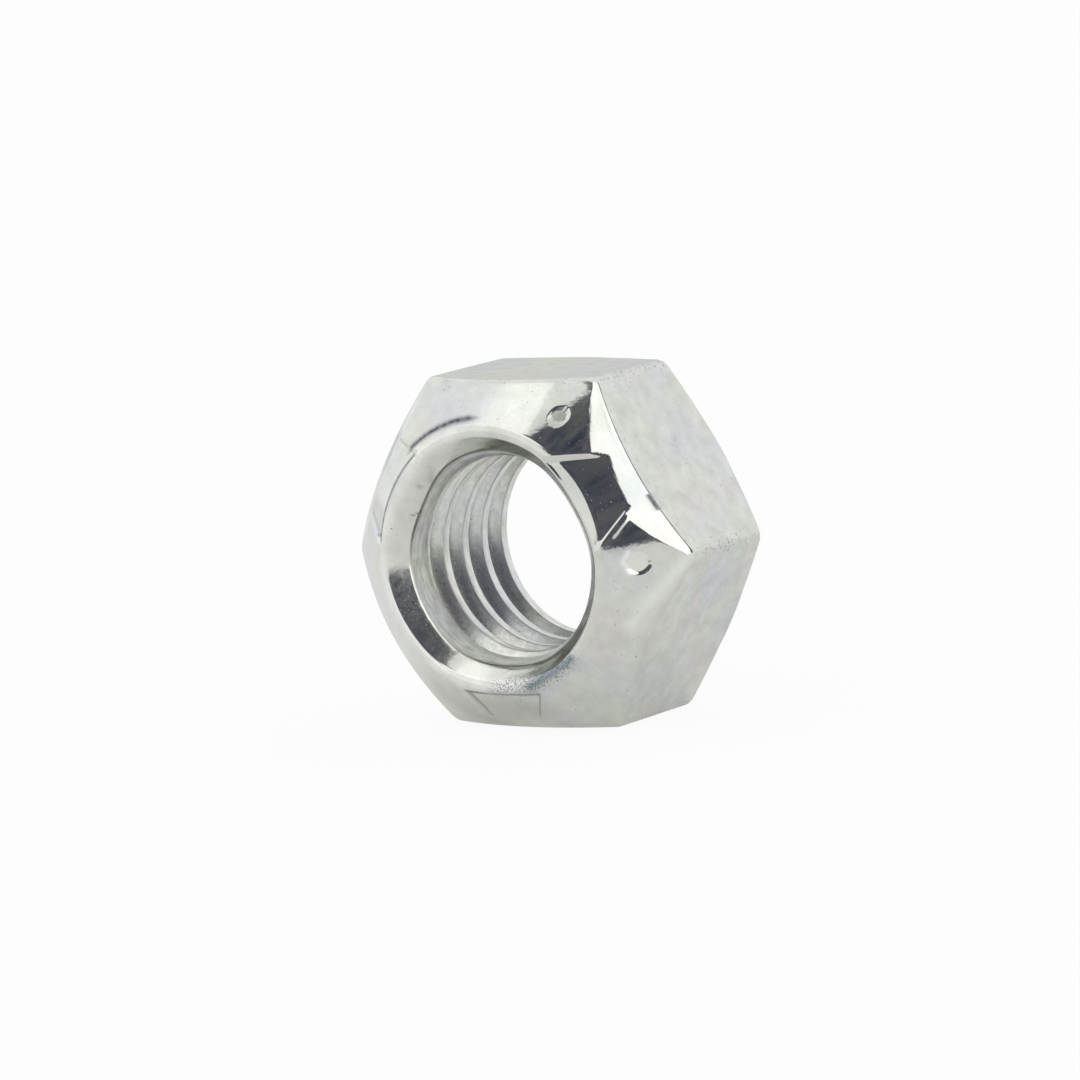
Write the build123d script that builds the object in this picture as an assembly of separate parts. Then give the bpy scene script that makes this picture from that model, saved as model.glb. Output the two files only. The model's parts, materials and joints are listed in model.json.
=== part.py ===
from build123d import *
from math import cos, radians, sin, tan
import os

# A hexagonal lock nut of one piece of steel for a 5/8 inch coarse thread: a flat bearing end,
# a conical end with a rounded rim, and three crimps pressed into the cone, over every second flat,
# which also squeeze the mouth of the hole out of round.
# Heights are measured along the thread axis from the bearing face. Slopes are measured from the
# plane square to that axis, and the crimps' angles about it from the corner at the right.

# Hexagon
across_flats = 23.81
nut_height = 13.6
corner_rounding = 1.0
edge_rounding = 0.4

# Bearing end: how far inside the flats its face ends, and the chamfer round it
bearing_inset = 0.255
bearing_chamfer_slope = 24.0

# Conical end
cone_slope = 43.0
rim_crest_diameter = 17.6
rim_outer_rounding = 0.8
rim_inner_rounding = 0.55

# Strips along the crimped flats, steeper than the cone: each is cut by a cone whose axis lies
# beyond the nut's, so that the strip is widest in the middle of the flat and ends at its corners
strip_width = 1.55
strip_slope = 51.0
strip_axis_offset = 9.0
strip_edge_rounding = 0.4

# Hole: a countersink in two slopes, the bore at the diameter over the thread's crests, and a chamfer.
# The upper slope of the countersink starts at the rim's crest and is this wide, square to the axis.
entry_slope = 46.0
entry_width = 1.08
throat_slope = 66.0
minor_diameter = 13.6
exit_diameter = 16.3
exit_slope = 45.0
mouth_squeeze = 0.3

# Crimps: the flat face of each starts outside the rim's crest and ends inside the flat
crimp_count = 3
crimp_first_angle = 30.0
crimp_slope = 38.6
crimp_depth = 0.35
crimp_start = 0.2
crimp_width_at_rim = 6.2
crimp_width_at_strip = 4.0
crimp_length = 1.9
crimp_side_draft = 32.0
crimp_end_draft = 50.0

# How far cutting and trimming shapes reach past the nut, and how level a side's direction must be
clear_of_nut = 2.0
level_tolerance = 0.01

apothem = across_flats / 2
corner_reach = apothem / cos(radians(30)) + clear_of_nut
rim_crest_radius = rim_crest_diameter / 2
minor_radius = minor_diameter / 2
crimp_angles = [crimp_first_angle + index * 360 / crimp_count for index in range(crimp_count)]


def rim_point(slope, widening=0.0):
    """Radius and height of the rounded rim where its surface has this slope, outward if above zero."""
    angle = radians(slope)
    rounding = rim_outer_rounding if slope > 0 else rim_inner_rounding
    radius = rim_crest_radius + widening + rounding * sin(angle)
    return radius, nut_height - rounding * (1 - cos(angle))


def cone_height(radius):
    """Height of the outer cone, or of its continuation, at a radius."""
    rim_radius, rim_height = rim_point(cone_slope)
    return rim_height - (radius - rim_radius) * tan(radians(cone_slope))


def outer_form():
    """What is round about the axis on the outside: the bearing end, the cone and the rim's outer half."""
    bearing_radius = apothem - bearing_inset
    chamfer_rise = (corner_reach - bearing_radius) * tan(radians(bearing_chamfer_slope))
    crest = rim_point(0)
    rim_outer = rim_point(cone_slope)
    outline = Polyline(
        crest,
        (0, nut_height),
        (0, 0),
        (bearing_radius, 0),
        (corner_reach, chamfer_rise),
        (corner_reach, cone_height(corner_reach)),
        rim_outer,
    )
    rim = ThreePointArc(rim_outer, rim_point(cone_slope / 2), crest)
    return revolve(Plane.XZ * make_face(Curve() + [outline, rim]), Axis.Z)


def hexagon_form():
    """The six flats, with their long corners slightly rounded."""
    hexagon = RegularPolygon(apothem, 6, major_radius=False, rotation=0)
    rounded = fillet(hexagon.vertices(), corner_rounding)
    return extrude(rounded, nut_height)


def is_side(face):
    """True for the flats and the rounded corners between them, which face straight away from the axis."""
    spot = face.center()
    normal = face.normal_at(spot)
    outward = normal.dot(Vector(spot.X, spot.Y, 0))
    return abs(normal.Z) < level_tolerance and outward > 0


def blank():
    """The solid nut blank, with the edges round both ends of its sides slightly rounded."""
    body = outer_form() & hexagon_form()
    ends = ShapeList()
    for side in body.faces().filter_by(is_side):
        ends += side.edges().filter_by(Axis.Z, reverse=True)
    return fillet(ends, edge_rounding)


def strip_cone():
    """The cone that trims the strip along the flat over the corner at the right."""
    start = apothem - strip_width
    spread = 1 / tan(radians(strip_slope))
    below = cone_height(start) + clear_of_nut
    above = nut_height + clear_of_nut - cone_height(start)
    reach = start + strip_axis_offset
    cone = Cone(reach + below * spread, reach - above * spread, below + above)
    return Pos(-strip_axis_offset, 0, (above - below) / 2 + cone_height(start)) * Rot(0, 0, 180) * cone


def with_strips(body):
    """The blank with a strip along each crimped flat, and a rounded edge between strip and flat."""
    outer_edges = ShapeList()
    edge_height = cone_height(apothem - strip_width) - strip_width * tan(radians(strip_slope))
    for angle in crimp_angles:
        body &= Rot(0, 0, angle) * strip_cone()
    for angle in crimp_angles:
        middle = Vector(apothem, 0, edge_height).rotate(Axis.Z, angle)
        outer_edges.append(body.edges().sort_by_distance(middle)[0])
    return fillet(outer_edges, strip_edge_rounding)


def bore():
    """The bore with the chamfer at its far end."""
    exit_radius = exit_diameter / 2
    chamfer_spread = 1 / tan(radians(exit_slope))
    chamfer_end = (exit_radius - minor_radius) / chamfer_spread
    mouth_radius = exit_radius + clear_of_nut * chamfer_spread
    outline = Polyline(
        (0, -clear_of_nut),
        (mouth_radius, -clear_of_nut),
        (minor_radius, chamfer_end),
        (minor_radius, nut_height),
        (0, nut_height),
        close=True,
    )
    return revolve(Plane.XZ * make_face(outline), Axis.Z)


def round_mouth():
    """A round countersink in two slopes that flares into the rim, widened by the squeeze."""
    crest = rim_point(0, mouth_squeeze)
    rim_inner = rim_point(-entry_slope, mouth_squeeze)
    throat_radius = crest[0] - entry_width
    throat_height = rim_inner[1] - (rim_inner[0] - throat_radius) * tan(radians(entry_slope))
    lower_reach = throat_radius - minor_radius / 2
    outline = Polyline(
        rim_inner,
        (throat_radius, throat_height),
        (throat_radius - lower_reach, throat_height - lower_reach * tan(radians(throat_slope))),
        (0, throat_height - lower_reach * tan(radians(throat_slope))),
        (0, nut_height + clear_of_nut),
        (crest[0], nut_height + clear_of_nut),
        crest,
    )
    rim = ThreePointArc(crest, rim_point(-entry_slope / 2, mouth_squeeze), rim_inner)
    return revolve(Plane.XZ * make_face(Curve() + [outline, rim]), Axis.Z)


def squeezed_mouth():
    """The mouth as the crimps left it: what three round mouths share, each moved away from one crimp."""
    shift = 2 * mouth_squeeze
    mouth = None
    for angle in crimp_angles:
        moved = Rot(0, 0, angle) * Pos(-shift, 0, 0) * round_mouth()
        mouth = moved if mouth is None else mouth & moved
    return mouth


def crimp_press():
    """The end of the crimping tool, over the corner at the right: a flat face with drafted sides."""
    slope = radians(crimp_slope)
    start = rim_crest_radius + crimp_start
    floor = Plane(
        origin=(start, 0, cone_height(start) - crimp_depth),
        x_dir=(cos(slope), 0, -sin(slope)),
        z_dir=(sin(slope), 0, cos(slope)),
    )
    narrowing = (crimp_width_at_rim - crimp_width_at_strip) / 2 / crimp_length
    past_strip = crimp_length + clear_of_nut / 2

    def face(height):
        """The press's outline at a height over its flat face."""
        end = -height * tan(radians(crimp_end_draft))
        side = height * tan(radians(crimp_side_draft))
        inner_half = crimp_width_at_rim / 2 - end * narrowing + side
        outer_half = crimp_width_at_rim / 2 - past_strip * narrowing + side
        corners = [
            (end, -inner_half),
            (past_strip, -outer_half),
            (past_strip, outer_half),
            (end, inner_half),
        ]
        return floor * Pos(0, 0, height) * make_face(Polyline(*corners, close=True))

    return loft([face(0), face(clear_of_nut)])


def lock_nut():
    """The whole nut, standing on one flat with its bearing face towards +Y."""
    body = with_strips(blank())
    body -= bore()
    body -= squeezed_mouth()
    for angle in crimp_angles:
        body -= Rot(0, 0, angle) * crimp_press()
    return Pos(0, nut_height / 2, apothem) * Rot(90, 0, 0) * body


os.makedirs("parts", exist_ok=True)
nut = lock_nut()
export_step(nut, "parts/lock_nut.step")
print("lock_nut", len(nut.solids()), "solid,", round(nut.volume, 1), "cubic mm")
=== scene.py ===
import json
from collections import namedtuple
from math import atan, cos, pi, radians, sin, sqrt, tan
from types import SimpleNamespace

import bpy
import numpy as np
from mathutils import Matrix, Vector, noise


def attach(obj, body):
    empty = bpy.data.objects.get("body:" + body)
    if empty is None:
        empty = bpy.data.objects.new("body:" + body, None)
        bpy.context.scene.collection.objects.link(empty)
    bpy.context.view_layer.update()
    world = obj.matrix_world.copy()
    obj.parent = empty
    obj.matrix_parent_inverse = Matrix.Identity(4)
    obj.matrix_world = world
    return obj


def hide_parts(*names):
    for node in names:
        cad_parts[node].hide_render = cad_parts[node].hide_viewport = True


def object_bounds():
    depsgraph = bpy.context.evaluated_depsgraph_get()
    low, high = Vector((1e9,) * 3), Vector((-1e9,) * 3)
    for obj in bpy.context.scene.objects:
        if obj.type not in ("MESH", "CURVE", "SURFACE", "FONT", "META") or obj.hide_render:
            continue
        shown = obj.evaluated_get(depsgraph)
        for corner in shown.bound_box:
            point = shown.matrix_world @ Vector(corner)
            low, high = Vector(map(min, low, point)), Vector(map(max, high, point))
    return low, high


# The finished look of a conical-top hexagonal lock nut in bright zinc plate. The nut is one mesh,
# built column by column round its thread axis: every column is the nut's section at that angle.
# Lengths are in millimetres until the mesh is made, heights run along the thread axis from the
# bearing face, and angles go about that axis from the corner at the right towards the top flat.

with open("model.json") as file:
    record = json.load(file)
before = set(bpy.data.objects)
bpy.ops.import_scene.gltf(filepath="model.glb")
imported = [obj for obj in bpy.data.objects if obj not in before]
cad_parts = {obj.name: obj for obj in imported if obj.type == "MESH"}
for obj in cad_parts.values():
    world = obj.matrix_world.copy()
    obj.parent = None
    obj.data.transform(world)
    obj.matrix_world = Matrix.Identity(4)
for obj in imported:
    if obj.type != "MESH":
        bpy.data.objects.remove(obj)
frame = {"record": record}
cad_low, cad_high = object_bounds()

MM = 0.001
FLAT_COUNT = 6
FULL_TURN = 2 * pi
HALF_FLAT = pi / FLAT_COUNT

# Main sizes, read from the frame
across_flats = (cad_high.z - cad_low.z) / MM
nut_height = (cad_high.y - cad_low.y) / MM
apothem = across_flats / 2
thread_mount = next(m for m in frame["record"]["mounts"] if m["name"] == "thread")
minor_radius = thread_mount["dims"]["r_mm"]

# Hexagon, and the rounding of its edge at the conical end, flat by flat: radius, how far it holds
# to either side of the flat's middle, and how softly it changes to the next
corner_rounding = 1.0
flat_angles = [radians(30 + 60 * index) for index in range(FLAT_COUNT)]
top_edge_rounding = [0.4, 0.7, 0.7, 0.7, 1.1, 1.3]
top_edge_half_angle = radians(34)
top_edge_change = 0.06

# Bearing end. Its chamfer's outer edge is rounded in full, or by a share of the room that it has.
bearing_radius = 11.65
chamfer_slope = radians(24)
bearing_edge_rounding = 0.5
edge_room_share = 0.9
edge_least = 0.02

# Conical end
cone_slope = radians(43)
rim_crest_radius = 8.8
rim_outer_rounding = 0.8
rim_inner_rounding = 0.55
cone_crown = 0.04
cone_crown_radius = 10.9
cone_crown_reach = 1.55

# Steeper strips between the cone and the crimped flats, widest in the middle of the flat, cut
# by a cone whose axis lies beyond the nut's own. They start at this distance from the axis.
strip_inner = 10.35
strip_slope = radians(51)
strip_axis_offset = 9.0
strip_blend = 0.03

# Hole: a countersink in two slopes, the thread, which runs in from the top of the bore, and a
# chamfer at the far end
entry_slope = radians(46)
throat_radius = 7.47
throat_offset = 0.1
throat_offset_angle = radians(300)
throat_slope = radians(66)
throat_blend = 0.04
exit_radius = 8.15
exit_slope = radians(45)
thread_pitch = 25.4 / 11
major_radius = 7.97
thread_flank = radians(30)
thread_crest_width = 0.7
thread_phase = 0.34
thread_rounding = 0.05
thread_start_length = 1.5
bore_low = 0.15
bore_high = 12.25

# Crimps, pressed into the cone over every second flat: angle of the flat, sideways offset,
# half widths at the rim and at the flat, how far the hole's mouth was pushed in, the slopes of
# the walls on the far and near side, going round anticlockwise, the rise of the floor towards
# the near side, the distance where the floor starts, how far its start follows a circle round
# the axis, and how much painted shade darkens its creases
Crimp = namedtuple("Crimp", "angle offset rim_half flat_half push far_wall near_wall rise start bow dirt")
crimps = [
    Crimp(radians(30), -0.16, 2.77, 1.83, 0.3, radians(40), radians(60), 0.03, 8.6, 1.0, 0.0),
    Crimp(radians(150), 0.05, 3.25, 2.8, 0.5, radians(54), radians(44), 0.0, 9.1, 1.0, 0.9),
    Crimp(radians(270), -0.1, 2.95, 1.95, 0.25, radians(58), radians(50), 0.0, 9.14, 0.1, 0.7),
]

# The crimps' faces, and their distances from the axis at the rim and at the flat
crimp_slope = radians(40)
crimp_lip_slope = radians(27)
crimp_depth = 0.35
crimp_inner = 9.1
crimp_outer = 10.88
crimp_blend = 0.03
crimp_start_wall = radians(48)

# The lip where a crimp meets the rim is blended more softly, inside this distance
lip_blend = 0.03
lip_distance = 9.3
lip_fade = 0.4

# Ridges of metal that the steepest walls of the crimps pushed up beside them
ridge_height = 0.05
ridge_width = 0.12
ridge_distance = 0.42
ridge_least_slope = radians(55)
ridge_inner_fade = 0.5
ridge_outer_fade = 0.6

# How far from a crimp's middle, how deep and how far outside the rim's crest the mouth is pushed in
mouth_push_half_angle = radians(34)
mouth_push_depth = 4.5
mouth_push_reach = 0.5
mouth_push_fade = 0.9

# Two punched dots on the cone, at the corners on either side of the first crimp: place, size and
# how much deeper they get clockwise and outwards
Dot = namedtuple("Dot", "angle distance radius depth wall lean")
dots = [
    Dot(radians(61), 11.03, 0.7, 0.12, 0.13, 0.02),
    Dot(radians(-0.3), 10.92, 0.9, 0.13, 0.22, 0.01),
]

# A fold in the metal at the foot of the rim: angles from and to, distance from the axis, half
# width and depth. It narrows towards its ends, to this share of its width. Painted shade darkens it.
Fold = namedtuple("Fold", "start end distance width depth")
fold = Fold(radians(89), radians(136), 9.68, 0.2, 0.06)
fold_end_share = 0.3
fold_end_sharpness = 2.5

# Marks on the end, as strokes between two places (distance from the axis, angle in degrees):
# zone of the finish or of painted light, ends, half width and strength. Some are real scratches and
# stains; others are painted highlights, painted shade and painted dark reflections.
Mark = namedtuple("Mark", "zone start end width share")
marks = [
    Mark("stain", (9.5, 250.5), (11.1, 257.8), 0.05, 0.4),
    Mark("stain", (9.9, 247), (11.7, 256), 0.05, 0.3),
    Mark("stain", (9.6, 245), (10.6, 251), 0.05, 0.3),
    Mark("stain", (7.65, 156.8), (7.35, 154.6), 0.06, 0.8),
    Mark("stain", (7.85, 127.5), (7.5, 134), 0.22, 0.3),
    Mark("stain", (7.95, 140.6), (7.85, 138.6), 0.07, 0.55),
    Mark("stain", (9.12, 170), (9.6, 171), 0.06, 0.7),
    Mark("stain", (7.85, 236), (7.6, 239), 0.07, 0.8),
    # Painted shade over the lower crimp and on the cone to its left
    Mark("stain", (10.4, 261), (10.4, 281), 0.9, 0.22),
    Mark("stain", (11.4, 236), (12, 262), 1.3, 0.25),
    Mark("stain", (10.85, 61), (11.2, 61), 0.45, 0.4),
    # Painted highlights: a bright streak in from the right corner, and the lit inner wall of the dot there
    Mark("sheen", (13.5, 0), (10.9, 336), 0.38, 0.45),
    Mark("sheen", (10.5, 3.6), (10.2, 0.4), 0.12, 1),
    Mark("sheen", (10.2, 0.4), (10.5, -4.4), 0.12, 1),
    # Painted dark reflections, tinted blue and violet: a band below the rim at the lower right, a patch on
    # the first crimp, and patches by the two dots
    Mark("blued", (8.9, 286), (8.85, 313), 0.33, 0.9),
    Mark("blued", (9.3, 42), (10.6, 24), 1.3, 0.26),
    Mark("blued", (10.2, 62), (11.2, 54), 0.9, 0.26),
    Mark("blued", (10.1, 6), (10.9, 10), 0.5, 0.4),
    # Painted shade in a short crease beside the first crimp
    Mark("crease", (12.19, 15.4), (11.96, 20.6), 0.08, 1),
]

# A hammered patch on the rim: angles from and to and how softly it ends there, distance from the
# axis and half width
hammered_from = radians(258)
hammered_to = radians(320)
hammered_fade_from = 0.3
hammered_fade_to = 0.15
hammered_distance = 8.8
hammered_width = 0.5

# How the plating's surface sinks and swells, with finer waves beside the slow ones
wave_size = 3.5
wave_depth = 0.016
fine_wave_count = 3
fine_wave_share = 0.15

# Zones of the finish and of painted light and shade, and how softly they end: the flats start
# below the conical end, and the thread below a polished edge under the countersink's upper slope
zone_names = (
    "side", "thread", "root", "lead", "long_edge", "end_edge", "rim", "crest",
    "dot", "crimp", "strip", "crease", "hammered", "stain", "sheen", "blued",
)
side_start = 0.05
side_fade = 0.3
hole_margin = 0.3
polished_depth = 0.12
thread_fade = 0.15
lead_length = 1.3
lead_fade = 0.6
long_edge_reach = 0.75
end_edge_reach = 0.3
rim_fade = 0.2
dot_fade = 0.12
face_tolerance = 0.0001
surface_tolerance = 0.02

# A painted highlight: the brighter band along the rim's crest, on the half of the rim round one angle
highlight_band_offset = 0.05
highlight_band_width = 0.42
highlight_angle = radians(190)
highlight_start = 0.3
highlight_fade = 0.5

# Floors of the crimps, and the painted shade in the creases round them: half width, and strength
# along the sides, which both change where the floor's start follows a circle
floor_fade = 0.06
strip_least_distance = 9.0
crease_width = 0.06
crease_bow_widening = 0.04
crease_overrun = 0.1
crease_side_share = 0.9
crease_bow_loss = 0.6
crease_end = 0.05

# Mesh density: columns round the axis, with extra ones across the crimps and the dots, and rows
Extra = namedtuple("Extra", "density reach fade")
column_count = 760
bore_column_count = column_count // 2
column_samples = 36001
crimp_columns = Extra(1.2, radians(21), radians(6))
dot_columns = Extra(1.0, radians(7), radians(2))
bearing_row_radii = (exit_radius, exit_radius + 0.12, 10.0, bearing_radius - 0.15, bearing_radius)
chamfer_row_shares = (0.12, 0.5, 0.88)
edge_row_count = 6
side_row_count = 8
slope_probe = 0.3
strip_row_count = 9
strip_least_width = 0.08
crease_inset = 0.05
crease_halvings = 30
crease_change = 0.2
cone_row_count = 22
rim_row_start = 9.9
rim_row_step = 0.066
entry_row_shares = (0, 0.25, 0.5, 0.75, 0.96)
thread_edge_step = 0.016
turn_digits = 6
spare_turns = 2
bore_top_gap = 0.05
bore_row_gap = 0.02


def rim_point(slope):
    """Radius and height of the rounded rim where its surface has this slope, outward if above zero."""
    rounding = rim_outer_rounding if slope > 0 else rim_inner_rounding
    return rim_crest_radius + rounding * sin(slope), nut_height - rounding * (1 - cos(slope))


def smooth_min(a, b, reach):
    """The smaller of two values, blended where they differ by less than the reach."""
    share = np.clip(0.5 + 0.5 * (b - a) / reach, 0, 1)
    return b * (1 - share) + a * share - reach * share * (1 - share)


def smooth_max(a, b, reach):
    """The larger of two values, blended where they differ by less than the reach."""
    return -smooth_min(-a, -b, reach)


def smooth_step(value):
    """Zero below 0, one above 1 and an even rise between."""
    t = np.clip(value, 0, 1)
    return t * t * (3 - 2 * t)


def bump_shape(distance, reach):
    """One at no distance, falling off to nothing over about twice the reach."""
    return np.exp(-((distance / reach) ** 2))


def turn_away(angle, middle):
    """How far round the axis an angle lies from another, whichever way is shorter."""
    return np.abs(np.mod(angle - middle + pi, FULL_TURN) - pi)


def hexagon_radius(angle):
    """Distance from the axis to the flats and their rounded corners at an angle."""
    from_flat = np.abs(np.mod(angle, 2 * HALF_FLAT) - HALF_FLAT)
    from_corner = HALF_FLAT - from_flat
    centre = (apothem - corner_rounding) / cos(HALF_FLAT)
    tangent = atan(centre * sin(HALF_FLAT) / apothem)
    reach = np.minimum(centre * np.sin(from_corner), corner_rounding)
    rounded = centre * np.cos(from_corner) + np.sqrt(corner_rounding**2 - reach**2)
    return np.where(from_flat < tangent, apothem / np.cos(from_flat), rounded)


def across_along(radius, angle, middle):
    """Distances from the axis along a direction across the nut, and to the side of it."""
    return radius * np.cos(angle - middle), radius * np.sin(angle - middle)


def cone_height(radius):
    """Height of the cone, or of its continuation, at a distance from the axis."""
    rim_radius, rim_height = rim_point(cone_slope)
    return rim_height - (radius - rim_radius) * tan(cone_slope)


def round_end_height(radius):
    """Height of the cone and the rim on it, without crimps, at a distance from the axis."""
    offset = radius - rim_crest_radius
    rounding = np.where(offset > 0, rim_outer_rounding, rim_inner_rounding)
    share = np.clip(offset / rounding, -1, 1)
    rim = nut_height - rounding * (1 - np.sqrt(1 - share**2))
    from_crown = (radius - cone_crown_radius) / cone_crown_reach
    crown = cone_crown * np.clip(1 - from_crown**2, -1, 1)
    return np.where(radius > rim_point(cone_slope)[0], cone_height(radius) + crown, rim)


def throat_edge(angle):
    """Radius and height of the line between the countersink's two slopes, slightly off centre."""
    radius = throat_radius + throat_offset * np.cos(angle - throat_offset_angle)
    inner_radius, inner_height = rim_point(-entry_slope)
    return radius, inner_height - (inner_radius - radius) * tan(entry_slope)


def entry_radius(height, angle):
    """Distance from the axis to the countersink's two slopes at a height."""
    radius, throat_height = throat_edge(angle)
    upper = radius + (height - throat_height) / tan(entry_slope)
    lower = radius + (height - throat_height) / tan(throat_slope)
    return smooth_max(upper, lower, throat_blend)


def strip_height(across, along):
    """Height of the cone that cuts the strip along a crimped flat."""
    reach = np.hypot(across + strip_axis_offset, along) - strip_axis_offset
    return cone_height(strip_inner) - (reach - strip_inner) * tan(strip_slope)


def crimp_tool(across, along, crimp):
    """Height of the tool that pressed a crimp, distance past its flat face and slope of its side."""
    reach = np.hypot(across, along)
    floor = cone_height(crimp_inner) - crimp_depth - crimp.rise * along
    slope_tan = np.where(reach > crimp_inner, tan(crimp_slope), tan(crimp_lip_slope))
    floor = floor - (reach - crimp_inner) * slope_tan
    from_axis = across + crimp.bow * (reach - across)
    floor = smooth_max(floor, floor + (crimp.start - from_axis) * tan(crimp_start_wall), lip_blend)
    narrowing = (crimp.rim_half - crimp.flat_half) / (crimp_outer - crimp_inner)
    half_width = crimp.rim_half - (across - crimp_inner) * narrowing
    past_side = (np.abs(along - crimp.offset) - half_width) / sqrt(1 + narrowing**2)
    side_slope = np.where(along > crimp.offset, crimp.far_wall, crimp.near_wall)
    tool = smooth_max(floor, floor + past_side * np.tan(side_slope), crimp_blend)
    clear_of_nut = 2 * nut_height
    return np.where(across > 0, tool, clear_of_nut), past_side, side_slope


def pushed_up(across, past_side, side_slope):
    """Height of the ridge beside a crimp, along its steepest wall."""
    ridge = bump_shape(past_side - ridge_distance, ridge_width) * (side_slope > ridge_least_slope)
    ridge = ridge * smooth_step((across - crimp_inner) / ridge_inner_fade)
    return ridge_height * ridge * smooth_step((crimp_outer - across) / ridge_outer_fade)


def end_height(radius, angle):
    """Height of the conical end at a place, with strips, crimps, ridges, dots and the fold."""
    height = round_end_height(radius)
    for crimp in crimps:
        across, along = across_along(radius, angle, crimp.angle)
        height = smooth_min(height, strip_height(across, along), strip_blend)
        tool, past_side, side_slope = crimp_tool(across, along, crimp)
        height = height + pushed_up(across, past_side, side_slope)
        blend = crimp_blend + lip_blend * smooth_step((lip_distance - across) / lip_fade)
        height = smooth_min(height, tool, blend)
    for dot in dots:
        _, along = across_along(radius, angle, dot.angle)
        depth = dot.depth + dot.lean * (radius - dot.distance - along)
        height = height - depth * smooth_step((dot.radius - from_dot(radius, angle, dot)) / dot.wall)
    return height - fold.depth * fold_share(radius, angle)


def from_dot(radius, angle, dot):
    """Distance along the cone from the centre of a dot."""
    across, along = across_along(radius, angle, dot.angle)
    away = np.hypot((radius - dot.distance) / cos(cone_slope), along)
    return np.where(across > 0, away, nut_height)


def fold_share(radius, angle):
    """One in the middle of the fold at the rim's foot, tapering to its ends and sides."""
    half = (fold.end - fold.start) / 2
    ends = smooth_step((half - np.abs(angle - fold.start - half)) / half * fold_end_sharpness)
    width = fold.width * (fold_end_share + (1 - fold_end_share) * ends)
    return bump_shape(radius - fold.distance, width) * ends


def crease_radius(angle):
    """Distance from the axis of the line inside each strip, or of the outer end of each crimp."""
    away = np.mod(angle, 2 * HALF_FLAT) - HALF_FLAT
    near = np.full_like(angle, strip_inner - crease_inset)
    far = np.full_like(angle, apothem / cos(HALF_FLAT))
    for _ in range(crease_halvings):
        middle = (near + far) / 2
        inside = strip_height(middle * np.cos(away), middle * np.sin(away)) > cone_height(middle)
        near = np.where(inside, middle, near)
        far = np.where(inside, far, middle)
    crease = near
    for crimp in crimps:
        across_share = np.maximum(np.cos(angle - crimp.angle), 0.5)
        along = crimp_outer * np.tan(np.clip(angle - crimp.angle, -HALF_FLAT, HALF_FLAT))
        past_end = crimp.flat_half + crease_change / 2 - np.abs(along - crimp.offset)
        inside = smooth_step(past_end / crease_change)
        crease = crease * (1 - inside) + crimp_outer / across_share * inside
    return crease


def edge_softness(angle):
    """Rounding of the edge round the conical end, which differs from flat to flat."""
    value = np.zeros_like(angle)
    total = np.zeros_like(angle)
    for flat, rounding in zip(flat_angles, top_edge_rounding):
        weight = smooth_step((np.cos(angle - flat) - cos(top_edge_half_angle)) / top_edge_change)
        value += weight * rounding
        total += weight
    return value / total


def bearing_rows(outer):
    """Rows over the bearing face and its rounded chamfer, and the height where the flats begin."""
    rows = [(radius, 0.0) for radius in bearing_row_radii]
    chamfer_tan = tan(chamfer_slope)
    edge_height = (outer - bearing_radius) * chamfer_tan
    turn = pi / 2 - chamfer_slope
    room = (outer - bearing_radius) / sin(turn) * edge_room_share + edge_least
    rounding = np.minimum(bearing_edge_rounding, room)
    tangent = rounding * tan(turn / 2)
    start = outer - tangent * cos(chamfer_slope)
    for share in chamfer_row_shares:
        radius = bearing_radius + (start - bearing_radius) * share
        rows.append((radius, (radius - bearing_radius) * chamfer_tan))
    side_low = edge_height + tangent
    for step in range(edge_row_count):
        spin = turn * (1 - step / (edge_row_count - 1))
        rows.append((outer - rounding * (1 - np.cos(spin)), side_low - rounding * np.sin(spin)))
    return rows, side_low


def side_rows(angle, outer, side_low):
    """Rows up the flats and round the edge of the conical end, and the radius where they stop."""
    top_edge = end_height(outer, angle)
    inside = end_height(outer - slope_probe, angle)
    turn = pi / 2 - np.arctan2(inside - top_edge, slope_probe)
    softness = edge_softness(angle)
    side_high = top_edge - softness * np.tan(turn / 2)
    shares = np.linspace(0, 1, side_row_count + 2)[1:-1]
    rows = [(outer, side_low + (side_high - side_low) * share) for share in shares]
    for step in range(edge_row_count):
        spin = turn * step / (edge_row_count - 1)
        rows.append((outer - softness * (1 - np.cos(spin)), side_high + softness * np.sin(spin)))
    return rows, outer - softness * (1 - np.cos(turn))


def end_rows(angle, start):
    """Rows over the strips, the cone and the rim, inwards from the rounded edge."""
    crease = np.minimum(crease_radius(angle), start - strip_least_width)
    radii = [start + (crease - start) * step / strip_row_count for step in range(1, strip_row_count)]
    radii += [crease + (rim_row_start - crease) * step / cone_row_count for step in range(cone_row_count)]
    inner_radius, _ = rim_point(-entry_slope)
    for radius in np.arange(rim_row_start, inner_radius, -rim_row_step):
        radii.append(np.full_like(angle, radius))
    return [(radius, end_height(radius, angle)) for radius in radii]


def countersink_rows(angle):
    """Rows down the countersink's two slopes to the top of the bore."""
    _, inner_height = rim_point(-entry_slope)
    _, throat_height = throat_edge(angle)
    heights = [inner_height + (throat_height - inner_height) * share for share in entry_row_shares]
    heights += [throat_height, throat_height - throat_blend, np.full_like(angle, bore_high)]
    return [(entry_radius(height, angle), height) for height in heights]


def column_section(angle):
    """Radii and heights of the outer rows at each angle, from the hole's far mouth to the near one."""
    outer = hexagon_radius(angle)
    bearing, side_low = bearing_rows(outer)
    side, end_start = side_rows(angle, outer, side_low)
    rows = bearing + side + end_rows(angle, end_start) + countersink_rows(angle)
    ones = np.ones_like(angle)
    return [(radius * ones, height * ones) for radius, height in rows]


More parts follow.
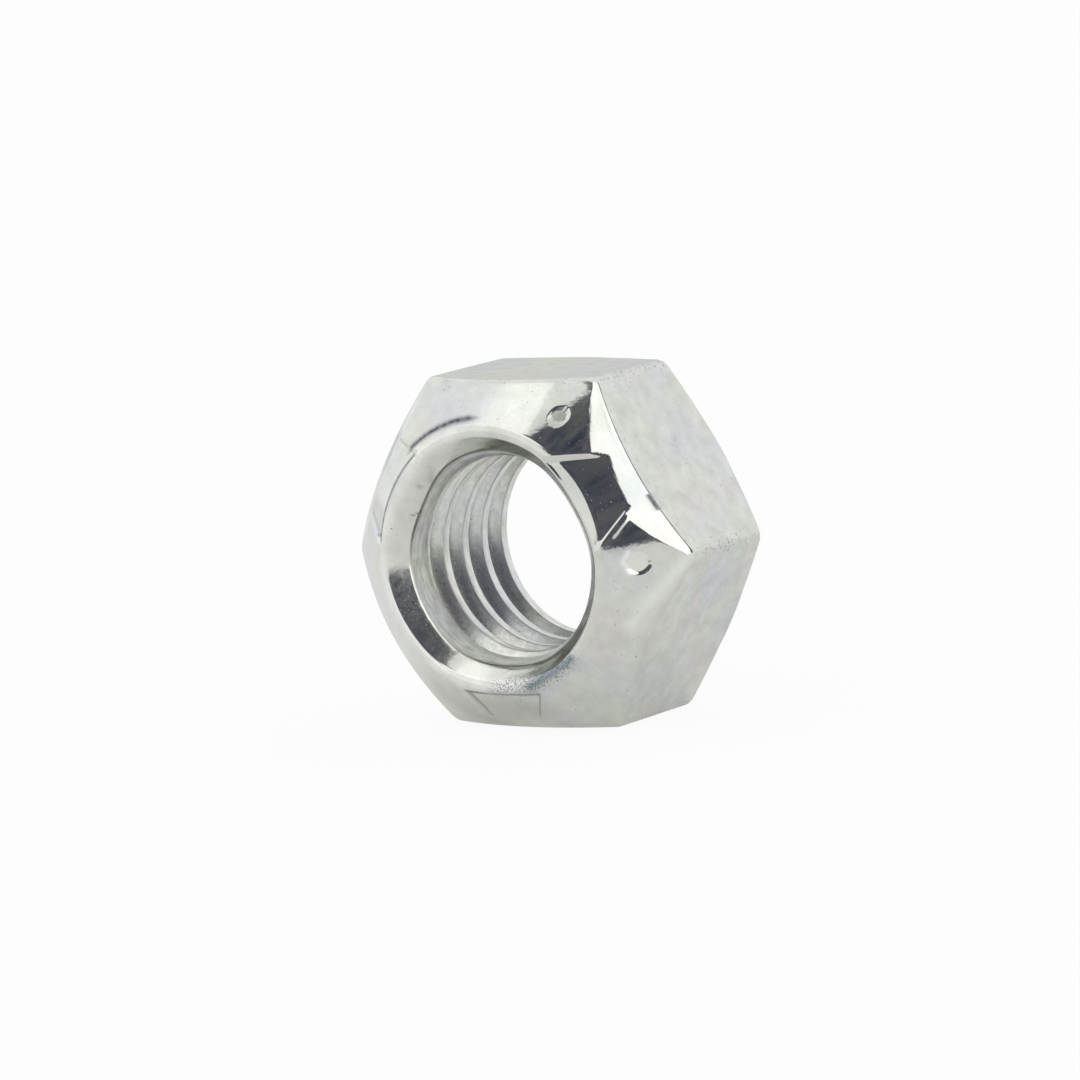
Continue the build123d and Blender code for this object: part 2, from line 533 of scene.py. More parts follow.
def bore_radius(height, angle):
    """Distance from the axis to the thread, or to the cone at either mouth where that is wider."""
    turn = height / thread_pitch - angle / FULL_TURN - thread_phase
    from_crest = np.abs(np.mod(turn + 0.5, 1) - 0.5) * thread_pitch
    flank = minor_radius + (from_crest - thread_crest_width / 2) / tan(thread_flank)
    thread = smooth_max(smooth_min(flank, major_radius, thread_rounding), minor_radius, thread_rounding)
    cut = smooth_step((bore_high - height) / thread_start_length)
    thread = minor_radius + (thread - minor_radius) * cut
    leaving = exit_radius - height / tan(exit_slope)
    return np.maximum(np.maximum(thread, entry_radius(height, angle)), leaving)


def thread_row_turns():
    """The bore's rows in turns of the thread, close together at crests and roots, and rows per turn."""
    crest = thread_crest_width / 2 / thread_pitch
    root = crest + (major_radius - minor_radius) * tan(thread_flank) / thread_pitch
    steps = (-thread_edge_step, 0, thread_edge_step)
    edges = [round(edge + step, turn_digits) for edge in (crest, root) for step in steps]
    turn = sorted({0.0, 0.5, *edges, *(-edge for edge in edges)})
    first = int(np.floor(bore_low / thread_pitch)) - spare_turns
    last = int(np.ceil(bore_high / thread_pitch)) + spare_turns
    places = [thread_phase + number + place for number in range(first, last) for place in turn]
    return np.array(places), len(turn)


def column_angles():
    """Angles of the mesh's columns, closer together across the crimps and the dots."""
    turn = np.linspace(0, FULL_TURN, column_samples)
    density = np.ones_like(turn)
    for places, extra in ((crimps, crimp_columns), (dots, dot_columns)):
        for place in places:
            inside = extra.reach - turn_away(turn, place.angle)
            density += extra.density * smooth_step(inside / extra.fade)
    passed = np.cumsum(density) - density[0]
    return np.interp(np.arange(column_count) / column_count * passed[-1], passed, turn)


class MeshParts:
    """Collects the points and faces of the nut."""

    def __init__(self):
        self.radius = []
        self.angle = []
        self.height = []
        self.faces = []

    def add_ring(self, radius, angle, height):
        """Adds points and hands back their numbers."""
        start = len(self.radius)
        self.radius.extend(radius.tolist())
        self.angle.extend(angle.tolist())
        self.height.extend(height.tolist())
        return np.arange(start, start + len(angle))

    def add_band(self, lower, upper):
        for a, b, c, d in zip(lower, np.roll(lower, -1), np.roll(upper, -1), upper):
            self.faces.append((a, b, c, d))

    def join_to_bore(self, outer, inner, index, flipped):
        """Joins two columns of an outer ring to one column of the bore's coarser ring."""
        a, b, c = outer[2 * index], outer[2 * index + 1], outer[(2 * index + 2) % column_count]
        d, e = inner[index], inner[(index + 1) % bore_column_count]
        for face in ((a, b, d), (b, e, d), (b, c, e)):
            self.faces.append(tuple(reversed(face)) if flipped else face)


def add_bore_wall(parts, bore_angle, top, bottom):
    """Adds the threaded wall between the bore's top and bottom rings, with rows along the helix."""
    places, per_turn = thread_row_turns()
    row_count = len(places)
    lowest = bore_low + bore_row_gap
    highest = bore_high - bore_top_gap - bore_row_gap
    own = np.full((bore_column_count, row_count), -1)
    for index in range(bore_column_count):
        height = (places + bore_angle[index] / FULL_TURN) * thread_pitch
        keep = np.where((height > lowest) & (height < highest))[0]
        around = np.full(len(keep), bore_angle[index])
        own[index, keep] = parts.add_ring(bore_radius(height[keep], around), around, height[keep])

    def point(column, row):
        """Number of the point at a column and row, or of the ring's point where the row has run out."""
        if column == bore_column_count:
            column = 0
            row += per_turn
        if 0 <= row < row_count and own[column, row] >= 0:
            return own[column, row]
        middle = (bore_low + bore_high) / 2
        turn = places[min(row, row_count - 1)] + bore_angle[column] / FULL_TURN
        return top[column] if turn * thread_pitch > middle or row >= row_count else bottom[column]

    for column in range(bore_column_count):
        for row in range(row_count - 1):
            distinct = []
            for place in ((column, row), (column + 1, row), (column + 1, row + 1), (column, row + 1)):
                corner = point(*place)
                if corner not in distinct:
                    distinct.append(corner)
            if len(distinct) > 2:
                parts.faces.append(tuple(reversed(distinct)))


def build_nut_points():
    """All points of the nut as radius, angle and height, and its faces."""
    parts = MeshParts()
    angle = column_angles()
    rings = [parts.add_ring(radius, angle, height) for radius, height in column_section(angle)]
    for lower, upper in zip(rings, rings[1:]):
        parts.add_band(lower, upper)
    bore_angle = angle[::2]
    high = np.full(bore_column_count, bore_high - bore_top_gap)
    low = np.full(bore_column_count, bore_low)
    top = parts.add_ring(bore_radius(high, bore_angle), bore_angle, high)
    bottom = parts.add_ring(bore_radius(low, bore_angle), bore_angle, low)
    for index in range(bore_column_count):
        parts.join_to_bore(rings[-1], top, index, False)
        parts.join_to_bore(rings[0], bottom, index, True)
    add_bore_wall(parts, bore_angle, top, bottom)
    return parts


def push_mouth_in(radius, angle, height):
    """Moves the hole's near mouth inwards at the crimps, as the press did."""
    depth = smooth_step((height - (nut_height - mouth_push_depth)) / mouth_push_depth)
    near = smooth_step((rim_crest_radius + mouth_push_reach - radius) / mouth_push_fade)
    push = np.zeros_like(radius)
    for crimp in crimps:
        push += crimp.push * smooth_step(1 - turn_away(angle, crimp.angle) / mouth_push_half_angle)
    return radius - push * depth * near


def thread_zones(radius, angle, height):
    """Shares of the thread, of its run-in at the mouth, and of the roots of its grooves."""
    _, throat_height = throat_edge(angle)
    in_hole = radius < throat_radius + hole_margin
    thread = smooth_step((throat_height - polished_depth - height) / thread_fade)
    thread = thread * in_hole * (height > face_tolerance)
    lead = smooth_step((height - bore_high + lead_length) / lead_fade) * thread
    depth = np.clip((radius - minor_radius) / (major_radius - minor_radius), 0, 1)
    return thread, lead, depth * thread * (1 - lead)


def dot_zone(radius, angle):
    """Share of the floors of the punched dots."""
    share = np.zeros_like(radius)
    for dot in dots:
        inside = dot.radius - dot.wall - from_dot(radius, angle, dot)
        share = np.maximum(share, smooth_step(inside / dot_fade + 0.5))
    return share


def crimp_zones(radius, angle, height):
    """Shares of the crimps' floors, of the strips, and of the painted shade in the creases round the
    floors.
    """
    floor_share = np.zeros_like(radius)
    strip_share = np.zeros_like(radius)
    crease_share = np.zeros_like(radius)
    for crimp in crimps:
        across, along = across_along(radius, angle, crimp.angle)
        facing = across > 0
        floor, past_side, _ = crimp_tool(across, along, crimp)
        on_floor = smooth_step((floor_fade / 2 - past_side) / floor_fade) * facing
        on_floor = on_floor * (np.abs(floor - height) < surface_tolerance)
        floor_share = np.maximum(floor_share, on_floor)
        from_strip = np.abs(strip_height(across, along) - height)
        on_strip = smooth_step((surface_tolerance - from_strip) / surface_tolerance)
        strip_share = np.maximum(strip_share, on_strip * (across > strip_least_distance))
        from_start = across + crimp.bow * (np.hypot(across, along) - across) - crimp.start
        beside_floor = (from_start > -crease_overrun) * facing * (across < crimp_outer)
        # Painted shade in the creases along the floor's sides and at its start
        side_crease = bump_shape(past_side, crease_width) * beside_floor
        side_crease = side_crease * (crease_side_share - crease_bow_loss * crimp.bow)
        start_crease = bump_shape(from_start, crease_width + crease_bow_widening * crimp.bow)
        start_crease = start_crease * (past_side < crease_end) * facing
        painted_shade_share = np.maximum(side_crease, start_crease) * crimp.dirt
        crease_share = np.maximum(crease_share, painted_shade_share)
    return floor_share, strip_share, crease_share


def surface_zones(radius, angle, height):
    """How far each point belongs to each zone of the finish and of painted light and shade, from 0 to 1."""
    outer = hexagon_radius(angle)
    under_end = end_height(np.minimum(radius, outer), angle) - height
    outside_hole = radius >= throat_radius + hole_margin
    upper_half = height > nut_height / 2
    side = smooth_step((under_end - side_start) / side_fade) * outside_hole
    on_end = (1 - side) * outside_hole * upper_half
    thread, lead, root = thread_zones(radius, angle, height)
    near_mouth = (1 - thread) * upper_half

    from_corner = HALF_FLAT - np.abs(np.mod(angle, 2 * HALF_FLAT) - HALF_FLAT)
    from_end_edge = np.maximum(outer - radius, 0) + np.abs(under_end)
    # Painted highlight: a paler band along the rim's crest, on the rim's left side
    crest = bump_shape(radius - rim_crest_radius - highlight_band_offset, highlight_band_width)
    crest = crest * upper_half * (1 - side)
    bright = smooth_step((np.cos(angle - highlight_angle) + highlight_start) / highlight_fade)
    crimp_floor, strip, crease = crimp_zones(radius, angle, height)
    hammered = bump_shape(radius - hammered_distance, hammered_width)
    hammered = hammered * smooth_step((angle - hammered_from) / hammered_fade_from)
    hammered = hammered * smooth_step((hammered_to - angle) / hammered_fade_to)
    zones = {name: np.zeros_like(radius) for name in zone_names}
    zones.update(
        side=side,
        thread=thread,
        root=root,
        lead=lead,
        long_edge=bump_shape(radius * np.sin(from_corner), long_edge_reach) * side,
        end_edge=bump_shape(from_end_edge, end_edge_reach) * outside_hole,
        rim=smooth_step((rim_point(cone_slope)[0] - radius) / rim_fade) * near_mouth,
        crest=crest * bright,
        dot=dot_zone(radius, angle) * on_end,
        crimp=crimp_floor * on_end,
        strip=strip * on_end,
        # Painted shade in the creases and along the fold
        crease=np.maximum(crease, fold_share(radius, angle)) * on_end,
        hammered=hammered * near_mouth,
    )
    for mark in marks:
        share = bump_shape(from_stroke(radius, angle, mark), mark.width) * mark.share
        share = share * ((1 - side) * near_mouth)
        zones[mark.zone] = np.maximum(zones[mark.zone], share)
    return zones


def from_stroke(radius, angle, mark):
    """Distance from the stroke of a mark, seen along the thread axis."""
    start, end = (np.array([r * cos(radians(a)), r * sin(radians(a))]) for r, a in (mark.start, mark.end))
    x = radius * np.cos(angle) - start[0]
    y = radius * np.sin(angle) - start[1]
    step = end - start
    share = np.clip((x * step[0] + y * step[1]) / (step @ step), 0, 1)
    return np.hypot(x - share * step[0], y - share * step[1])


def waves(radius, angle, height):
    """Slow unevenness of the surface, from 0 to 1."""
    points = np.stack([radius * np.cos(angle), radius * np.sin(angle), height], axis=1) / wave_size
    coarse = np.array([noise.noise(Vector(point)) for point in points.tolist()])
    fine = np.array([noise.noise(Vector(point)) for point in (points * fine_wave_count).tolist()])
    return np.clip(0.5 + 0.5 * coarse + fine_wave_share * fine, 0, 1)


def nut_mesh():
    """The nut's mesh in the frame, in metres."""
    parts = build_nut_points()
    radius = np.array(parts.radius)
    angle = np.array(parts.angle)
    height = np.array(parts.height)
    zones = surface_zones(radius, angle, height)
    radius = push_mouth_in(radius, angle, height)
    sunk = waves(radius, angle, height) * wave_depth
    radius = radius - sunk * zones["side"]
    height = height - sunk * (1 - zones["side"]) * (radius > throat_radius) * (height > nut_height / 2)
    bearing_y = cad_high.y
    axis_z = (cad_low.z + cad_high.z) / 2
    points = np.stack([
        radius * np.cos(angle) * MM,
        bearing_y - height * MM,
        axis_z + radius * np.sin(angle) * MM,
    ], axis=1)
    points = np.clip(points, np.array(cad_low), np.array(cad_high))
    mesh = bpy.data.meshes.new("zinc_lock_nut")
    mesh.from_pydata(points.tolist(), [], [tuple(int(i) for i in face) for face in parts.faces])
    mesh.validate()
    mesh.polygons.foreach_set("use_smooth", [True] * len(mesh.polygons))
    for zone in zone_names:
        attribute = mesh.attributes.new(zone, "FLOAT", "POINT")
        attribute.data.foreach_set("value", zones[zone].astype(np.float32))
    mesh.update()
    triangles = sum(len(polygon.vertices) - 2 for polygon in mesh.polygons)
    print("nut", len(mesh.vertices), "points", triangles, "triangles")
    return mesh


class Shading:
    """One node material: adds nodes, joins them and hands back their outputs."""

    def __init__(self, name):
        self.material = bpy.data.materials.new(name)
        self.material.use_nodes = True
        self.nodes = self.material.node_tree.nodes
        self.links = self.material.node_tree.links
        self.shader = self.nodes["Principled BSDF"]
        self.place = self.add("TexCoord").outputs["Object"]

    def add(self, kind):
        return self.nodes.new("ShaderNode" + kind)

    def feed(self, socket, value):
        """Joins a socket to another node's output, or sets it to a plain value."""
        if isinstance(value, bpy.types.NodeSocket):
            self.links.new(value, socket)
        else:
            socket.default_value = value

    def zone(self, name):
        """Share of a zone of the finish, from the mesh."""
        node = self.add("Attribute")
        node.attribute_name = name
        return node.outputs["Fac"]

    def noise(self, size, detail, seed, stretch=(1, 1, 1)):
        """Noise from 0 to 1, with features of a size in millimetres, moved by a seed and stretched."""
        mapping = self.add("Mapping")
        mapping.inputs["Location"].default_value = (seed, -seed, seed)
        mapping.inputs["Scale"].default_value = stretch
        self.links.new(self.place, mapping.inputs["Vector"])
        node = self.add("TexNoise")
        node.inputs["Scale"].default_value = 1 / (size * MM)
        node.inputs["Detail"].default_value = detail
        self.links.new(mapping.outputs[0], node.inputs["Vector"])
        return node.outputs["Fac"]

    def spread(self, value, low, high, to_low=0.0, to_high=1.0):
        """Maps a range to another, held at its ends."""
        node = self.add("MapRange")
        self.feed(node.inputs["Value"], value)
        for name, number in zip(("From Min", "From Max", "To Min", "To Max"), (low, high, to_low, to_high)):
            self.feed(node.inputs[name], number)
        return node.outputs[0]

    def math(self, operation, a, b):
        node = self.add("Math")
        node.operation = operation
        self.feed(node.inputs[0], a)
        self.feed(node.inputs[1], b)
        return node.outputs[0]

    def times(self, a, b):
        return self.math("MULTIPLY", a, b)

    def plus(self, a, b):
        return self.math("ADD", a, b)

    def larger(self, a, b):
        return self.math("MAXIMUM", a, b)

    def blend(self, share, a, b):
        """From value a to value b as the share rises from 0 to 1."""
        node = self.add("Mix")
        self.feed(node.inputs["Factor"], share)
        self.feed(node.inputs[2], a)
        self.feed(node.inputs[3], b)
        return node.outputs[0]

    def tint(self, share, a, b, mode="MIX"):
        """From colour a to colour b as the share rises from 0 to 1."""
        node = self.add("Mix")
        node.data_type = "RGBA"
        node.blend_type = mode
        self.feed(node.inputs["Factor"], share)
        self.feed(node.inputs[6], a)
        self.feed(node.inputs[7], b)
        return node.outputs[2]


# Colours of the plating and of what marks it, with painted highlights, painted shade and painted dark
# reflections
plate_green = (0.70, 0.72, 0.66, 1)
plate_blue = (0.67, 0.69, 0.70, 1)
plate_rose = (0.72, 0.67, 0.67, 1)
rim_color = (0.71, 0.72, 0.67, 1)
# Painted highlight on the rim's crest
crest_highlight_color = (0.86, 0.86, 0.83, 1)
pit_color = (0.26, 0.25, 0.23, 1)
# Painted dark reflections, in blue, violet and teal
painted_reflection_blue = (0.14, 0.19, 0.27, 1)
painted_reflection_violet = (0.25, 0.21, 0.28, 1)
painted_reflection_teal = (0.18, 0.28, 0.27, 1)
pecked_color = (0.13, 0.14, 0.16, 1)
dot_color = (0.84, 0.83, 0.78, 1)
# Painted highlights
painted_highlight_color = (0.90, 0.91, 0.90, 1)
# Real stains, and painted shade at the bottom of the end
stain_and_painted_shade_color = (0.27, 0.25, 0.20, 1)
# Painted shade in creases
painted_crease_color = (0.07, 0.08, 0.11, 1)


def zinc_patterns(zinc):
    """The noises that the finish is made of, from slow clouds to fine grain, and the thread's two."""
    return SimpleNamespace(
        cloud=zinc.noise(5.0, 3, 1.0),
        drift=zinc.noise(3.2, 2, 9.0),
        patch=zinc.noise(1.1, 3, 2.0),
        grain=zinc.noise(0.3, 2, 3.0),
        speck=zinc.noise(0.2, 2, 7.0),
        dapple=zinc.noise(0.11, 2, 8.0),
        fine=zinc.noise(0.1, 2, 4.0),
        streak=zinc.noise(0.25, 3, 5.0, (1, 0.12, 1)),
        ring=zinc.noise(0.16, 2, 6.0, (0.15, 1, 0.15)),
    )


def zinc_pits(zinc, zone, pattern, wear):
    """Small pits in the plating, more of them along worn edges, none in the thread or on the strips."""
    limit = zinc.blend(wear, 0.72, 0.615)
    limit = zinc.plus(limit, zinc.spread(pattern.cloud, 0.35, 0.65, 0.02, -0.02))
    pit = zinc.spread(zinc.math("SUBTRACT", pattern.speck, limit), 0.0, 0.03)
    return zinc.times(pit, zinc.spread(zinc.plus(zone.thread, zone.strip), 0.2, 0.6, 1.0, 0.0))


def plate_color(zinc, zone, pattern):
    """The clean plating: its hue drifts slowly, a painted highlight pales the rim's crest, and painted
    shade darkens the thread's roots while painted light brightens its crests and run-in.
    """
    hue = zinc.tint(zinc.spread(pattern.cloud, 0.42, 0.62), plate_green, plate_blue)
    hue = zinc.tint(zinc.spread(pattern.drift, 0.52, 0.68, 0, 0.6), hue, plate_rose)
    hue = zinc.tint(zinc.times(zone.rim, 0.8), hue, rim_color)
    # Painted highlight on the rim's crest
    hue = zinc.tint(zone.crest, hue, crest_highlight_color)
    mottle = zinc.spread(pattern.patch, 0.3, 0.7, 0.93, 1.05)
    mottle = zinc.times(mottle, zinc.spread(pattern.grain, 0.3, 0.75, 0.97, 1.02))
    color = zinc.tint(1.0, hue, mottle, "MULTIPLY")
    # Painted shade and light in the thread: roots darker, crests lighter and the run-in at the mouth
    # lighter still
    groove_shade = zinc.blend(zone.root, zinc.blend(zone.lead, 1.13, 1.4), 0.5)
    shade = zinc.blend(zone.thread, 1.0, groove_shade)
    tool_marks = zinc.times(zone.thread, zinc.spread(pattern.ring, 0.4, 0.65))
    shade = zinc.times(shade, zinc.blend(tool_marks, 1.0, 0.8))
    return zinc.tint(1.0, color, shade, "MULTIPLY")


def zinc_color(zinc, zone, pattern, pit):
    """Plating with pits, hammer marks, dots, stains, and painted reflections, highlights and shade."""
    # Painted dark reflections, clouded from blue through violet to teal
    painted_reflection_tint = zinc.tint(zinc.spread(pattern.drift, 0.4, 0.6), painted_reflection_blue, painted_reflection_violet)
    painted_reflection_tint = zinc.tint(zinc.spread(pattern.patch, 0.48, 0.6), painted_reflection_tint, painted_reflection_teal)
    pecked = zinc.times(zone.hammered, zinc.spread(pattern.dapple, 0.5, 0.58))
    markings = [
        (zinc.times(pit, 0.5), pit_color),
        # Painted dark reflections
        (zinc.times(zone.blued, zinc.spread(pattern.patch, 0.35, 0.6, 0.6, 1.0)), painted_reflection_tint),
        (zinc.times(pecked, 0.85), pecked_color),
        (zinc.times(zone.dot, 0.7), dot_color),
        # Painted highlights
        (zone.sheen, painted_highlight_color),
        # Real stains and scratches, and painted shade at the bottom of the end
        (zone.stain, stain_and_painted_shade_color),
        # Painted shade in the creases
        (zinc.times(zone.crease, zinc.spread(pattern.grain, 0.35, 0.6, 0.7, 1.0)), painted_crease_color),
    ]
    color = plate_color(zinc, zone, pattern)
    for share, marking_color in markings:
        color = zinc.tint(share, color, marking_color)
    return color


def zinc_roughness(zinc, zone, pattern, wear, pit):
    """Satin flats, a mirror-like end, a duller thread, and dull wear, pits, creases and stains."""
    end_rough = zinc.spread(pattern.patch, 0.3, 0.7, 0.05, 0.11)
    side_rough = zinc.spread(pattern.patch, 0.3, 0.7, 0.42, 0.3)
    dull = zinc.larger(pit, zinc.larger(zone.crease, zone.stain))
    rough = zinc.blend(zone.side, end_rough, side_rough)
    rough = zinc.blend(zinc.times(zone.rim, 0.7), rough, zinc.spread(pattern.grain, 0.35, 0.65, 0.13, 0.22))
    rough = zinc.blend(zone.crimp, rough, zinc.spread(pattern.patch, 0.35, 0.65, 0.07, 0.14))
    rough = zinc.blend(zone.dot, rough, 0.19)
    rough = zinc.blend(zone.thread, rough, zinc.spread(pattern.streak, 0.3, 0.7, 0.28, 0.4))
    rough = zinc.blend(zone.lead, rough, 0.68)
    rough = zinc.blend(zinc.times(wear, 0.5), rough, 0.3)
    return zinc.blend(dull, rough, 0.55)


def zinc_relief(zinc, zone, pattern, pit):
    """Height of the fine relief in millimetres: shallow on the end, deeper on the flats."""
    smooth = zinc.spread(zone.strip, 0.0, 1.0, 1.0, 0.25)
    relief = zinc.times(pattern.patch, zinc.times(smooth, zinc.blend(zone.side, 0.006, 0.018)))
    layers = [
        zinc.times(pattern.grain, zinc.times(smooth, zinc.blend(zone.side, 0.003, 0.008))),
        zinc.times(pattern.fine, zinc.blend(zone.side, 0.0007, 0.0016)),
        zinc.times(zinc.times(pattern.dapple, zone.hammered), 0.028),
        zinc.times(zinc.times(pattern.ring, zone.thread), 0.012),
        zinc.times(pit, -0.02),
    ]
    for layer in layers:
        relief = zinc.plus(relief, layer)
    return relief


def zinc_material():
    """Bright zinc plate: satin on the flats, mirror-like on the end, dull in the thread."""
    zinc = Shading("zinc_plate")
    zone = SimpleNamespace(**{name: zinc.zone(name) for name in zone_names})
    pattern = zinc_patterns(zinc)
    wear = zinc.larger(zone.long_edge, zinc.times(zone.end_edge, 0.6))
    pit = zinc_pits(zinc, zone, pattern, wear)
    bump = zinc.add("Bump")
    bump.inputs["Strength"].default_value = 1.0
    bump.inputs["Distance"].default_value = MM
    zinc.feed(bump.inputs["Height"], zinc_relief(zinc, zone, pattern, pit))
    zinc.feed(zinc.shader.inputs["Base Color"], zinc_color(zinc, zone, pattern, pit))
    zinc.feed(zinc.shader.inputs["Roughness"], zinc_roughness(zinc, zone, pattern, wear, pit))
    zinc.feed(zinc.shader.inputs["Normal"], bump.outputs[0])
    zinc.shader.inputs["Metallic"].default_value = 1.0
    return zinc.material


# Floor: size in metres, colour, and the share that is plain white to the camera and in reflections
floor_size = 6
floor_color = (0.84, 0.84, 0.83, 1)
floor_glow_seen = 0.92
floor_glow_in_gloss = 0.36

# World: strength of the light on the nut and of the white background
studio_strength = 0.9
background_strength = 1.0
white = (1, 1, 1, 1)


def ray_share(tree, shares):
    """A node output that gives each kind of ray its share."""
    path = tree.nodes.new("ShaderNodeLightPath")
    total = None
    for ray, share in shares.items():
        part = tree.nodes.new("ShaderNodeMath")
        part.operation = "MULTIPLY_ADD"
        part.inputs[1].default_value = share
        part.inputs[2].default_value = 0.0
        tree.links.new(path.outputs[ray], part.inputs[0])
        if total:
            tree.links.new(total, part.inputs[2])
        total = part.outputs[0]
    return total


def mix_by_ray(owner, output_kind, kinds, shares):
    """Gives a material or world two shaders, the second for its share of each kind of ray."""
    owner.use_nodes = True
    tree = owner.node_tree
    tree.nodes.clear()
    output = tree.nodes.new(output_kind)
    mix = tree.nodes.new("ShaderNodeMixShader")
    shaders = [tree.nodes.new(kind) for kind in kinds]
    for number, shader in enumerate(shaders):
        tree.links.new(shader.outputs[0], mix.inputs[number + 1])
    tree.links.new(ray_share(tree, shares), mix.inputs["Fac"])
    tree.links.new(mix.outputs[0], output.inputs["Surface"])
    return shaders


def white_floor():
    """A plain pale floor, white to the camera and in reflections, that keeps the nut's shadow."""
    bpy.ops.mesh.primitive_plane_add(size=floor_size, location=(0, 0, 0))
    floor = bpy.context.object
    floor.name = "studio_floor"
    material = bpy.data.materials.new("studio_floor")
    kinds = ("ShaderNodeBsdfDiffuse", "ShaderNodeEmission")
    diffuse, glow = mix_by_ray(material, "ShaderNodeOutputMaterial", kinds, {
        "Is Camera Ray": floor_glow_seen,
        "Is Transmission Ray": floor_glow_seen,
        "Is Glossy Ray": floor_glow_in_gloss,
    })
    diffuse.inputs["Color"].default_value = floor_color
    glow.inputs["Strength"].default_value = 1.0
    floor.data.materials.append(material)


def white_world():
    """Even studio light, and a white background for camera, reflections and glass."""
    world = bpy.data.worlds.new("studio")
    bpy.context.scene.world = world
    kinds = ("ShaderNodeBackground", "ShaderNodeBackground")
    shares = {"Is Camera Ray": 1, "Is Glossy Ray": 1, "Is Transmission Ray": 1}
    lights = mix_by_ray(world, "ShaderNodeOutputWorld", kinds, shares)
    for light, strength in zip(lights, (studio_strength, background_strength)):
        light.inputs["Color"].default_value = white
        light.inputs["Strength"].default_value = strength


# Studio cards, as sectors of a dome round the nut: colours from and to, brightness, how far the
# brightness fades in from the left and from below, and rows of elevation and azimuths from and to,
# in degrees. Azimuth 0 is straight in front of the cone and 90 at the right.
Card = namedtuple("Card", "low high brightness fade rows")
cards = {
    "dark_card_front": Card((0.2, 0.3, 0.62, 1), (1.5, 1.45, 1.45, 1), 0.125, 0, [
        (-5, 11, 58), (10, 11, 58), (24, 10, 58), (30, -4, 58), (40, -6, 58),
        (47, 0, 57), (52, 1, 55.5), (55, -6, 54), (57, -20, 52), (59, -21, 47),
        (60.2, -21, 43), (61.2, -14, 39), (62.8, -7.5, 35), (66, 10, 26),
    ]),
    "soft_box_right": Card(white, white, 1.5, 0, [
        (-9, 52, 88), (-4, 58.5, 88), (45, 58.2, 88), (47, 57.2, 88), (52, 55.7, 88),
        (55, 54.2, 88), (57, 52.2, 88), (59, 47.2, 88), (60.2, 43.2, 86), (61.2, 39.2, 85),
        (62.8, 35.2, 84), (70, 20, 80),
    ]),
    "dark_card_right": Card((0.8, 0.85, 1, 1), (1.1, 1.15, 1.3, 1), 0.12, 0, [
        (2, 88.5, 118), (70, 88.5, 118),
    ]),
    "soft_box_left": Card(white, white, 1.3, 0.4, [
        (36, -86, -5.4), (40, -86, -6.2), (47, -86, -0.2), (52, -86, 0.8), (55, -86, -6.2),
        (57, -86, -20.2), (60.2, -86, -21.2), (61.2, -86, -14.2), (70, -80, -30),
    ]),
    "grey_card_left": Card(white, white, 0.75, 0, [
        (0, -92, -62), (10, -92, -62), (14, -88, -66),
    ]),
    "grey_card_back": Card(white, white, 0.7, 0, [
        (0, -172, -122), (26, -172, -122),
    ]),
}

# Cards: distance in metres, rows and columns of the meshes, and size of the clouds on them
card_distance = 0.9
card_divisions = 24
card_cloud_size = 40


def direction_to(azimuth, elevation):
    """The way from the nut towards an azimuth and an elevation."""
    return Vector((sin(azimuth) * cos(elevation), -cos(azimuth) * cos(elevation), sin(elevation)))


def card_mesh(name, card):
    """The mesh of a card, with its fade at every point."""
    heights, starts, ends = zip(*card.rows)
    middle = Vector((0, 0, apothem * MM))
    points = []
    fades = []
    faces = []
    for row in range(card_divisions + 1):
        height = heights[0] + (heights[-1] - heights[0]) * row / card_divisions
        azimuth_from = np.interp(height, heights, starts)
        azimuth_to = np.interp(height, heights, ends)
        for column in range(card_divisions + 1):
            azimuth = radians(azimuth_from + (azimuth_to - azimuth_from) * column / card_divisions)
            points.append(direction_to(azimuth, radians(height)) * card_distance + middle)
            inside = min(column, row) / card_divisions
            fades.append(min(1, inside / card.fade) if card.fade else 1)
    for row in range(card_divisions):
        for column in range(card_divisions):
            first = row * (card_divisions + 1) + column
            above = first + card_divisions + 1
            faces.append((first, first + 1, above + 1, above))
    mesh = bpy.data.meshes.new(name)
    mesh.from_pydata(points, [], faces)
    mesh.attributes.new("fade", "FLOAT", "POINT").data.foreach_set("value", fades)
    return mesh


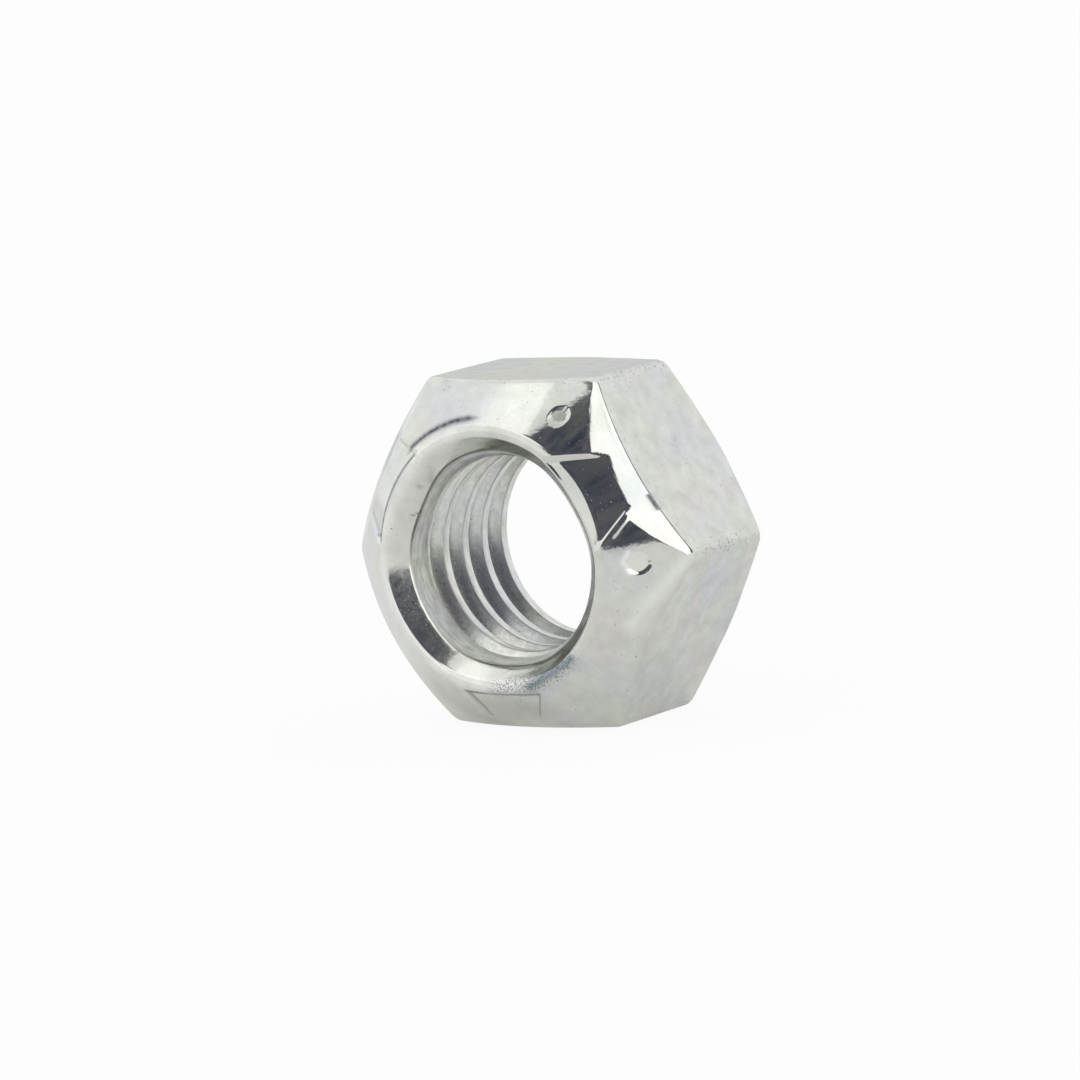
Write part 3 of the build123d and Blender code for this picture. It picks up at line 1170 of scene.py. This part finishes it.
def card_material(name, card):
    """A glowing surface, clouded from one colour to the other."""
    shading = Shading(name)
    shading.nodes.remove(shading.shader)
    glow = shading.add("Emission")
    cloud = shading.spread(shading.noise(card_cloud_size, 3, 3.0), 0.35, 0.65)
    shading.feed(glow.inputs["Color"], shading.tint(cloud, card.low, card.high))
    shading.feed(glow.inputs["Strength"], shading.spread(shading.zone("fade"), 0, 1, 1, card.brightness))
    shading.links.new(glow.outputs[0], shading.nodes["Material Output"].inputs["Surface"])
    return shading.material


def studio_card(name, card):
    """A card, seen only in reflections, that fills a part of the dome round the nut."""
    stage = bpy.data.objects.new(name, card_mesh(name, card))
    bpy.context.scene.collection.objects.link(stage)
    stage.data.materials.append(card_material(name, card))
    stage.visible_camera = False
    stage.visible_diffuse = False
    stage.visible_shadow = False
    stage.visible_transmission = False


# The photograph's camera: where it looks from, its tilt, and how far to the right of its line of
# sight, below it and away the middle of the bearing face is, in widths across the flats, and its lens
camera_azimuth = radians(35.03)
camera_elevation = radians(8.45)
camera_roll = radians(-4.46)
nut_from_camera = Vector((0.1776, -0.0331, 21.876))
focal_length_pixels = 7608
photo_width_pixels = 1080
sensor_width = 36


def photo_camera():
    """The camera at the photograph's viewing angle, with the frame taken as square."""
    back = direction_to(camera_azimuth, camera_elevation)
    right = Vector((cos(camera_azimuth), sin(camera_azimuth), 0))
    up = back.cross(right)
    turned_right = right * cos(camera_roll) + up * sin(camera_roll)
    turned_up = up * cos(camera_roll) - right * sin(camera_roll)
    offset = nut_from_camera * across_flats
    eye = -(turned_right * offset.x - turned_up * offset.y - back * offset.z)
    eye += Vector((0, nut_height / 2, apothem))
    data = bpy.data.cameras.new("photo_camera")
    data.sensor_width = sensor_width
    data.lens = focal_length_pixels / photo_width_pixels * sensor_width
    data.clip_start = 0.01
    data.clip_end = 20
    camera = bpy.data.objects.new("photo_camera", data)
    bpy.context.scene.collection.objects.link(camera)
    turn = Matrix((turned_right, turned_up, back)).transposed().to_4x4()
    camera.matrix_world = Matrix.Translation(eye * MM) @ turn
    bpy.context.scene.camera = camera


nut = bpy.data.objects.new("zinc_lock_nut", nut_mesh())
bpy.context.scene.collection.objects.link(nut)
nut.data.materials.append(zinc_material())
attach(nut, "root")
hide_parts("lock_nut")
white_floor()
white_world()
for name, card in cards.items():
    studio_card(name, card)
photo_camera()
bpy.context.scene.view_settings.view_transform = "Standard"
